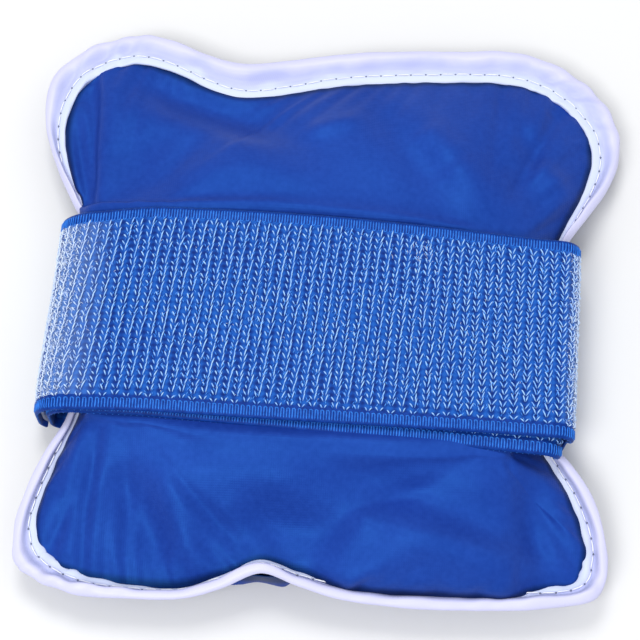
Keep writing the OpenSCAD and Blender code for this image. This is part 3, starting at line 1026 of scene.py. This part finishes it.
def strap_length(name, low, high):
    """One length of the strap as a single piece: base, pile, fuzz and both selvedges."""
    gather = Gather()
    strap_base(gather, low, high)
    strap_pile(gather, max(low, CORNER_S[0] - 12), high)
    if low > CORNER_S[3]:
        strap_fuzz(gather, low, high)
    strap_selvedges(gather, low, high)
    return gather.piece(name, [GROUND, PILE, SELVEDGE, SELVEDGE_GROUND, FUZZ, GROUND_LOOPS])


def metres(*point):
    return tuple(value * MM for value in point)


def make_strap():
    """The whole strap in lengths that each cross no more than one hinge."""
    inner_end = CORNER_S[2] + 2
    under_end = CORNER_S[4] - 16
    side_middle = (CORNER_S[4] + CORNER_S[5]) / 2 + 3
    front_start = CORNER_S[5] + 22
    front_end = CORNER_S[6] - 12
    leg_x, run_z = STOPS[5][0], STOPS[6][1]
    tip_x = STOPS[7][0]
    lengths = [
        ("strap_inner_front", 0, inner_end, "pack", ["strap_inner_turn"]),
        ("strap_inner_back", inner_end, under_end, "pack", ["strap_inner_turn"]),
        ("strap_lower_turn", under_end, side_middle,
         ("pack", "strap_side", metres(leg_x - 9, 0, UNDER_Z), metres(leg_x, 0, UNDER_Z + 9)), []),
        ("strap_upper_turn", side_middle, front_start,
         ("strap_side", "strap_run", metres(leg_x, 0, run_z - 8), metres(leg_x - 8, 0, run_z)),
         ["strap_side_run"]),
        ("strap_front_band", front_start, front_end, "strap_run", ["strap_front_run"]),
        ("strap_free_end", front_end, STRAP_LENGTH,
         ("strap_run", "strap_end", metres(tip_x + 5, 0, run_z - 8), metres(tip_x - 2, 0, run_z - 15)),
         ["strap_tip"]),
    ]
    for name, low, high, holds, nodes in lengths:
        length = strap_length(name, low, high)
        if isinstance(holds, str):
            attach(length, holds)
        else:
            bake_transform(length)
        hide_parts(*nodes)


make_strap()

# ---- hook tab


def on_tab(a, b, h):
    """A point of the hook tab: a down the strap's end, b across it, h inwards from the strap."""
    foot = TAB_LOW[2] - TIP_LOW[2]
    return on_band(STRAP_LENGTH - foot - TAB_LENGTH + a, b, -BASE_HALF - h)


def make_hook_tab():
    """A sewn-on plastic tab with rows of small curved hooks."""
    half = (TAB_HIGH[1] - TAB_LOW[1]) / 2
    gather = Gather()
    a = np.linspace(0, TAB_LENGTH, 16)
    b = np.linspace(-half, half, 50)
    aa, bb = np.meshgrid(a, b, indexing="ij")
    rim = np.minimum(np.minimum(aa, TAB_LENGTH - aa), half - np.abs(bb))
    top = on_tab(aa, bb, 0.2 + 0.4 * smooth(rim / 0.8 + 0.2))
    low = on_tab(aa, bb, -0.05)
    quads = grid_faces(16, 50)
    gather.add(top, quads[:, ::-1], 0, top)
    gather.add(low, quads, 0, low)
    rows = np.arange(1.6, TAB_LENGTH - 1.4, 0.95)
    cols = np.arange(-half + 1.6, half - 1.4, 0.95)
    ra, cb = (k.ravel() for k in np.meshgrid(rows, cols, indexing="ij"))
    shape = np.array([(0.0, 0.5), (0.02, 0.85), (0.12, 1.12), (0.34, 1.2), (0.5, 1.02)])
    lean = np.where(np.round(ra / 0.95).astype(int) % 2 > 0, 1, -1)
    lines = on_tab(ra[:, None] + lean[:, None] * shape[None, :, 0], np.repeat(cb[:, None], 5, 1),
                   np.repeat(shape[None, :, 1], len(ra), 0))
    ups = np.broadcast_to(np.array([0.0, 1.0, 0.0]), (len(ra), 3))
    points, faces = tubes(lines, ups, [0.17, 0.15, 0.14, 0.13, 0.1])
    gather.add(points, faces, 0, points)
    tab = gather.piece("hook_tab_plastic", [HOOK_PLASTIC])
    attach(tab, "strap_end")
    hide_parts("hook_tab")


def make_tab_stitches():
    """The row of stitches round the tab, on the outer face of the strap's end."""
    length = TAB_LENGTH - 2.4
    width = TAB_HIGH[1] - TAB_LOW[1] - 2.4
    total = 2 * (length + width)
    count = int(total / 2.6)
    u = np.linspace(0.08, 0.92, 6)
    travel = (np.arange(count)[:, None] + u[None]) * total / count
    corner = np.array([0, width, width + length, 2 * width + length, total])
    across = np.interp(travel, corner, [-width / 2, width / 2, width / 2, -width / 2, -width / 2])
    down = np.interp(travel, corner, [1.2, 1.2, 1.2 + length, 1.2 + length, 1.2])
    lift = 0.12 * np.sin(np.pi * u)[None] * np.ones_like(travel)
    thread = Gather()
    for face in (-2 * BASE_HALF - 0.06 - lift, 0.66 + lift):
        lines = on_tab(down, across, face)
        ups = np.broadcast_to(np.array([-1.0, 0.02, 0.3]), (count, 3))
        points, faces = tubes(lines, ups, 0.2 * np.array([0.6, 1, 1, 1, 1, 0.6]))
        thread.add(points, faces, 0, points)
    stitches = thread.piece("hook_tab_thread", [BLUE_THREAD])
    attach(stitches, "strap_end")
    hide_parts("hook_tab_stitches")


make_hook_tab()
make_tab_stitches()

# ---- camera and light

CAMERA_ELEVATION = math.radians(72)
CAMERA_DISTANCE = 0.48
CAMERA_ROLL = math.radians(3)
CAMERA_TARGET = Vector((-0.0004, -0.0025, 0.012))
camera_data = bpy.data.cameras.new("camera")
camera = bpy.data.objects.new("camera", camera_data)
scene.collection.objects.link(camera)
camera_data.lens = 113.4
back_way = Vector((0, -math.cos(CAMERA_ELEVATION), math.sin(CAMERA_ELEVATION)))
camera.location = CAMERA_TARGET + back_way * CAMERA_DISTANCE
turn = (-back_way).to_track_quat("-Z", "Y")
camera.rotation_mode = "QUATERNION"
camera.rotation_quaternion = turn @ Quaternion((0, 0, 1), CAMERA_ROLL)
scene.camera = camera

floor_shader = Shader("floor", Roughness=0.8)
floor_shader.link(floor_shader.ramp(floor_shader.noise(floor_shader.place(), 3.0),
                                    (0.3, 0.74), (0.7, 0.78)), "Base Color")
floor = piece("floor", [(-900, -900, 0), (900, -900, 0), (900, 900, 0), (-900, 900, 0)],
              [[0, 1, 2, 3]], [floor_shader.material])


def soft_light(name, location, size, power):
    """A square lamp that looks at the pack."""
    data = bpy.data.lights.new(name, "AREA")
    data.size = size
    data.energy = power
    lamp = bpy.data.objects.new(name, data)
    lamp.location = location
    lamp.rotation_mode = "QUATERNION"
    lamp.rotation_quaternion = (-Vector(location)).to_track_quat("-Z", "Y")
    scene.collection.objects.link(lamp)


soft_light("key", (-0.3, -0.5, 1.05), 0.4, 7)
soft_light("sheen", (-0.1, 0.36, 1.1), 0.35, 4.5)
soft_light("fill", (0.6, 0.2, 0.8), 0.9, 1)
world = bpy.data.worlds.new("world")
world.use_nodes = True
background = world.node_tree.nodes["Background"].inputs
background["Color"].default_value = (0.95, 0.97, 1, 1)
background["Strength"].default_value = 0.6
scene.world = world
scene.view_settings.view_transform = "Standard"
